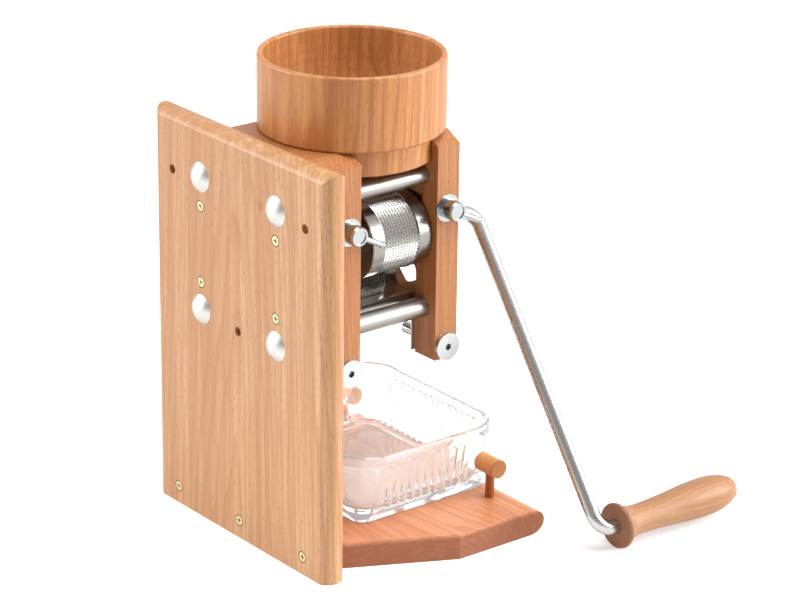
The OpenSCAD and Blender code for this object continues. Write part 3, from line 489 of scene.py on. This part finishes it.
def knurled_steel(name, middle):
    """Steel with painted shade in the grooves of a belt round the axis through the middle. The grooves
    that climb one way get more painted shade than those that cross them. This stands in for the light
    that falls more on one set of facets."""
    material = bright_metal(name, (0.64, 0.622, 0.59), 0.3)
    tree = material.node_tree
    sideways = figure(tree, "SUBTRACT", part_of_place(tree, 0), middle[0])
    upwards = figure(tree, "SUBTRACT", part_of_place(tree, 2), middle[2])
    turn = figure(tree, "ARCTAN2", upwards, sideways)
    round_count = figure(tree, "MULTIPLY", turn, KNURLS_ROUND / math.tau)
    along = figure(tree, "SUBTRACT", part_of_place(tree, 1), middle[1] - ROLLER_LEN / 2 + BAND_LEN)
    along_count = figure(tree, "MULTIPLY", along, KNURLS_ALONG / (ROLLER_LEN - 2 * BAND_LEN))
    for operation, share in SHADED_GROOVES:
        across = figure(tree, "FRACT", figure(tree, operation, along_count, round_count))
        groove_shade = ramp(tree, across, (0.0, share), (GROOVE_HALF, 0.0), (1 - GROOVE_HALF, 0.0), (1.0, share))
        # Painted shade along each groove's line
        cover(material, groove_shade, (0.10, 0.09, 0.08))
    return material


roller_steel = bright_metal("roller_steel", (0.30, 0.292, 0.277), 0.26)
roller("near_roller", "drive", "drive_roller")
roller("far_roller", "idle", "idle_roller")


# Scraper strips
# Each scraper is bent from one bright sheet. Above its bend, a strip as wide as the web narrows with
# rounded corners to the blade. These are the strip's two ends, beside the blade.

# The sheet's thickness, the height of its bend, and the blade's width
SHEET, WEB_TOP, BLADE_W = 0.0012, 0.160, 0.047
# A strip's length up to its rounded corner, the corner's radius, and how far its end lies inside the web's
STRIP_LEN, NOTCH_R, END_IN = 0.0065, 0.0025, 0.0001


def strip_end(scraper, roller_node, inwards, end):
    """One end of a strip. inwards is +1 or -1 along X from the web, end is +1 at the wall's end."""
    low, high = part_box(scraper)
    web_x, tip_x = (low[0] + SHEET, high[0]) if inwards > 0 else (high[0] - SHEET, low[0])
    reach, climb = abs(tip_x - web_x), high[2] - WEB_TOP
    rise = math.atan2(climb, reach - SHEET * climb / math.hypot(climb, reach))
    blade_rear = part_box(roller_node)[1][1]
    blade_y = blade_rear if end > 0 else blade_rear - BLADE_W
    outer_y = (high[1] if end > 0 else low[1]) - end * END_IN
    outline = [(-SHEET / 4, blade_y), (-SHEET / 4, outer_y), (STRIP_LEN, outer_y)]
    for degrees in range(0, 91, 15):
        turn = math.radians(degrees)
        along = STRIP_LEN + NOTCH_R * (1 - math.cos(turn))
        outline.append((along, blade_y + end * NOTCH_R * (1 - math.sin(turn))))
    bpy.ops.object.select_all(action="DESELECT")
    bpy.ops.mesh.primitive_circle_add(vertices=len(outline), radius=0.01, fill_type="NGON")
    piece = bpy.context.object
    piece.name = scraper + ("_rear_strip" if end > 0 else "_front_strip")
    shape = start_shaping(piece)
    for vertex, (along, y) in zip(list(shape.verts), outline):
        vertex.co = (web_x + inwards * along * math.cos(rise), y, WEB_TOP + along * math.sin(rise))
    bmesh.update_edit_mesh(piece.data)
    bpy.ops.mesh.select_all(action="SELECT")
    under = (inwards * SHEET * math.sin(rise), 0, -SHEET * math.cos(rise))
    bpy.ops.mesh.extrude_region_move(TRANSFORM_OT_translate={"value": under})
    end_shaping(piece)
    piece.data.materials.append(sheet_steel)
    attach(piece, "frame")


for end in (1, -1):
    strip_end("near_scraper", "drive_roller", 1, end)
    strip_end("far_scraper", "idle_roller", -1, end)


# Glass dish
# Pressed clear glass: leaning walls with upright round-ended ribs on their straight stretches, plain
# rounded corners, a plain band below the rim, and a heavy base that stands out as a band at the foot.
clear_glass, tree, surface = new_material("clear_glass")
waves = noise(tree, own_place(tree), 60)
bump = put(tree, "ShaderNodeBump", {"Strength": 0.15, "Distance": 0.0005, "Height": waves})
tree.links.new(bump.outputs[0], surface.inputs["Normal"])
# Nearly clear. A little milkiness and glow stand in for the strong light that makes the glass look white.
GLASS_SOCKETS = {
    "Base Color": (1, 1, 1, 1),
    "Transmission Weight": 0.93,
    "Roughness": 0.0,
    "IOR": 1.45,
    "Emission Color": (1, 1, 1, 1),
    "Emission Strength": 0.05,
}
for socket, value in GLASS_SOCKETS.items():
    surface.inputs[socket].default_value = value
dish_low, dish_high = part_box("glass_dish")
DISH_HALF = [(b - a) / 2 for a, b in zip(dish_low[:2], dish_high[:2])]
DISH_H = dish_high[2] - dish_low[2]
DISH_WALL, DISH_BASE, DISH_LEAN = 0.004, 0.007, 0.007
# The plain band below the rim, and how far its lower edge lies inside the rim
RIM_BAND, BAND_IN = 0.008, 0.0012
RIM_CORNER, FOOT_CORNER, WALL_CORNER = 0.026, 0.010, 0.014
# A rib's width, height and round end, and the plain stretch between the ribs and a corner
RIB_PITCH, RIB_DEPTH, RIB_END, RIB_MARGIN = 0.0066, 0.0010, 0.004, 0.0015
RIB_STEPS, CORNER_STEPS, DISH_SMOOTH = 10, 16, math.radians(30)
RIB_LOW, RIB_HIGH = DISH_BASE + 0.001, DISH_H - RIM_BAND


def leaning(height):
    """A ring of the ribbed wall: height, inset, corner radius, and 0 to 1 for its place in a rib's end."""
    share = (height - DISH_BASE) / (RIB_HIGH - DISH_BASE)
    inset = DISH_LEAN + (BAND_IN - DISH_LEAN) * share
    corner = WALL_CORNER + (RIM_CORNER - BAND_IN - WALL_CORNER) * share
    return height, inset, corner, min(height - RIB_LOW, RIB_HIGH - height, RIB_END) / RIB_END


rib_levels = [RIB_END * (1 - math.cos(math.radians(a))) for a in range(0, 91, 18)]
# Rings up the outside, over the rim and down the inside: height, inset from the rim's outline, corner
# radius, and the place along the ribs' round ends, or None where the wall is plain
DISH_RINGS = [
    (0, DISH_LEAN + 0.004, FOOT_CORNER - 0.003, None),
    (0.0003, DISH_LEAN + 0.0022, FOOT_CORNER - 0.0012, None),
    (0.0012, DISH_LEAN + 0.0008, FOOT_CORNER, None),
    (0.003, DISH_LEAN + 0.0002, FOOT_CORNER + 0.001, None),
    (DISH_BASE - 0.0015, DISH_LEAN, WALL_CORNER - 0.001, None),
    (DISH_BASE - 0.0004, DISH_LEAN + 0.0003, WALL_CORNER, None),
    *[leaning(RIB_LOW + level) for level in rib_levels],
    *[leaning(RIB_HIGH - level) for level in reversed(rib_levels)],
    (DISH_H - RIM_BAND + 0.001, BAND_IN - 0.001, RIM_CORNER - BAND_IN, None),
    (DISH_H - 0.002, 0, RIM_CORNER, None),
    (DISH_H - 0.0007, 0.0005, RIM_CORNER - 0.0005, None),
    (DISH_H, 0.0016, RIM_CORNER - 0.0016, None),
    (DISH_H, DISH_WALL - 0.0016, RIM_CORNER - DISH_WALL + 0.0016, None),
    (DISH_H - 0.0007, DISH_WALL - 0.0005, RIM_CORNER - DISH_WALL + 0.0005, None),
    (DISH_H - 0.002, DISH_WALL, RIM_CORNER - DISH_WALL, None),
    (RIB_HIGH, DISH_WALL + 0.0008, RIM_CORNER - DISH_WALL - 0.0008, None),
    (DISH_BASE + 0.009, DISH_LEAN + DISH_WALL - 0.0008, FOOT_CORNER + 0.003, None),
    (DISH_BASE + 0.005, DISH_LEAN + DISH_WALL + 0.0004, FOOT_CORNER + 0.002, None),
    (DISH_BASE + 0.002, DISH_LEAN + DISH_WALL + 0.0022, FOOT_CORNER + 0.0005, None),
    (DISH_BASE + 0.0005, DISH_LEAN + DISH_WALL + 0.005, FOOT_CORNER - 0.002, None),
    (DISH_BASE, DISH_LEAN + DISH_WALL + 0.008, FOOT_CORNER - 0.004, None),
]


def below_crest(across, rib_end):
    """How far the wall lies below a rib's crest, at -1 to 1 across the rib and 0 to 1 into its end."""
    return RIB_DEPTH * (1 - math.sqrt(max(0, 1 - across ** 2 - (1 - rib_end) ** 2)))


def dish_ring(inset, corner, rib_end):
    """The points of one ring, side by side round the dish."""
    points = []
    for side in range(4):
        own, other = DISH_HALF if side % 2 == 0 else DISH_HALF[::-1]
        along, out = own - inset - corner, other - inset
        reach = own - RIM_CORNER - RIB_MARGIN
        steps = round(2 * reach / RIB_PITCH) * RIB_STEPS
        row = []
        for k in range(steps + 1):
            across = 2 * (k % RIB_STEPS) / RIB_STEPS - 1
            sunk = 0 if rib_end is None else below_crest(across, rib_end)
            row.append((reach * (2 * k / steps - 1), sunk - out))
        for k in range(CORNER_STEPS + 1):
            a = math.radians(90 * k / CORNER_STEPS)
            row.append((along + corner * math.sin(a), corner * (1 - math.cos(a)) - out))
        turn = Matrix.Rotation(math.radians(90 * side), 2)
        points += [turn @ Vector(p) for p in row]
    return points


points_round = len(dish_ring(*DISH_RINGS[0][1:]))
bpy.ops.object.select_all(action="DESELECT")
bpy.ops.mesh.primitive_circle_add(vertices=points_round, radius=0.05, fill_type="NGON", location=(0, 0, 0))
dish = bpy.context.object
dish.name = "fluted_dish"
shape = start_shaping(dish)
shape.verts.layers.int.new("order")
shape = bmesh.from_edit_mesh(dish.data)
order = shape.verts.layers.int["order"]
for k, vertex in enumerate(sorted(shape.verts, key=lambda v: math.atan2(v.co.y, v.co.x))):
    vertex[order] = k
bpy.ops.mesh.select_all(action="SELECT")
for i, (height, *outline) in enumerate(DISH_RINGS):
    if i:
        bpy.ops.mesh.extrude_region_move()
    shape = bmesh.from_edit_mesh(dish.data)
    order = shape.verts.layers.int["order"]
    ring = sorted((v for v in shape.verts if v.select), key=lambda v: v[order])
    for vertex, point in zip(ring, dish_ring(*outline)):
        vertex.co = (point.x, point.y, height)
    bmesh.update_edit_mesh(dish.data)
end_shaping(dish)
dish.data.attributes.remove(dish.data.attributes["order"])
bpy.ops.object.shade_smooth_by_angle(angle=DISH_SMOOTH)
dish.location = [(dish_low[0] + dish_high[0]) / 2, (dish_low[1] + dish_high[1]) / 2, dish_low[2]]
bpy.ops.object.transform_apply(location=True, rotation=True, scale=True)
dish.data.materials.append(clear_glass)
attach(dish, "dish_body")
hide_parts("glass_dish")


# Floor, light and camera
# A white ground under plain soft light, and a long lens that looks at the plate's back from its right.
FLOOR_SIZE = 8
# The paper is less white far from the mill, and glows by what it lacks where it is looked at, so that
# it is white all over. The metals mirror a share of that glow.
FADE_REACH, FULL_WHITE, MIRRORED_GLOW = 4.0, 1.25, 0.6
bpy.ops.object.select_all(action="DESELECT")
bpy.ops.mesh.primitive_plane_add(size=FLOOR_SIZE, location=(0, 0, 0))
floor = bpy.context.object
floor.name = "floor"
paper, tree, surface = new_material("white_paper")
away = figure(tree, "DIVIDE", measured(tree, "LENGTH", own_place(tree)), FADE_REACH)
whiteness = ramp(tree, away, (0.12, 0.85), (0.45, 0.30))
tree.links.new(whiteness, surface.inputs["Base Color"])
surface.inputs["Roughness"].default_value = 0.9
paths = put(tree, "ShaderNodeLightPath").outputs
seen = figure(tree, "MAXIMUM", paths["Is Camera Ray"], paths["Is Transmission Ray"])
seen = figure(tree, "MAXIMUM", seen, figure(tree, "MULTIPLY", paths["Is Glossy Ray"], MIRRORED_GLOW))
glow = figure(tree, "SUBTRACT", FULL_WHITE, whiteness)
surface.inputs["Emission Color"].default_value = (1, 1, 1, 1)
tree.links.new(figure(tree, "MULTIPLY", seen, glow), surface.inputs["Emission Strength"])
floor.data.materials.append(paper)

# The sky as light, and the direction of the dark side of the room that the metals mirror
SKY_LIGHT = 0.4
DARK_SIDE = (-0.73, 0.58, 0.36)
world = bpy.data.worlds.new("studio")
world.use_nodes = True
bpy.context.scene.world = world
tree = world.node_tree
paths = put(tree, "ShaderNodeLightPath").outputs
outward = put(tree, "ShaderNodeTexCoord").outputs["Generated"]
upward = put(tree, "ShaderNodeSeparateXYZ", {0: outward}).outputs[2]
towards = measured(tree, "DOT_PRODUCT", outward, DARK_SIDE)
mirrored = ramp(tree, upward, (0.0, 0.7), (0.35, 1.0))
mirrored = figure(tree, "MULTIPLY", mirrored, ramp(tree, towards, (0.55, 1.0), (0.9, 0.25)))
level = figure(tree, "MAXIMUM", SKY_LIGHT, figure(tree, "MULTIPLY", paths["Is Glossy Ray"], mirrored))
looked_at = figure(tree, "MAXIMUM", paths["Is Camera Ray"], paths["Is Transmission Ray"])
level = figure(tree, "MAXIMUM", level, looked_at)
tree.nodes["Background"].inputs["Color"].default_value = (1, 1, 1, 1)
tree.links.new(level, tree.nodes["Background"].inputs["Strength"])


# The height at which the lamps are aimed
LIT_HEIGHT = 0.15


def softbox(name, place, size, power):
    """A square studio lamp that faces the mill."""
    bpy.ops.object.light_add(type="AREA", location=place)
    lamp = bpy.context.object
    lamp.name = name
    lamp.data.size = size
    lamp.data.energy = power
    lamp.rotation_euler = (Vector((0, 0, LIT_HEIGHT)) - lamp.location).to_track_quat("-Z", "Y").to_euler()


softbox("left_softbox", (1.5, 1.9, 0.9), 1.6, 56)
softbox("right_softbox", (-1.5, -1.8, 0.9), 1.6, 66)
softbox("top_softbox", (-0.6, -0.1, 2.4), 1.5, 46)

# The lens, from the photo: its direction, its distance, the point that it is aimed at, and its length
AZIMUTH, ELEVATION, ROLL = math.radians(231.43), math.radians(20.99), math.radians(0.73)
DISTANCE = 2.14207
AIM_RIGHT, AIM_UP = 0.10544, 0.16015
WALL_BEHIND = 0.0895
LENS_PER_WIDTH = 3203.78 / 800
SENSOR_WIDTH = 36
right = Vector((math.cos(AZIMUTH), math.sin(AZIMUTH), 0))
level_back = Vector((math.sin(AZIMUTH), -math.cos(AZIMUTH), 0))
back = math.cos(ELEVATION) * level_back + Vector((0, 0, math.sin(ELEVATION)))
up = back.cross(right)
eye = right * AIM_RIGHT + up * AIM_UP + Vector((0, WALL_BEHIND, 0)) + back * DISTANCE
right_rolled = math.cos(ROLL) * right + math.sin(ROLL) * up
up_rolled = math.cos(ROLL) * up - math.sin(ROLL) * right
bpy.ops.object.camera_add()
camera = bpy.context.object
camera.name = "photo_camera"
camera.matrix_world = Matrix((
    (right_rolled.x, up_rolled.x, back.x, eye.x),
    (right_rolled.y, up_rolled.y, back.y, eye.y),
    (right_rolled.z, up_rolled.z, back.z, eye.z),
    (0, 0, 0, 1),
))
camera.data.sensor_width = SENSOR_WIDTH
camera.data.lens = SENSOR_WIDTH * LENS_PER_WIDTH
camera.data.clip_end = 20
bpy.context.scene.camera = camera
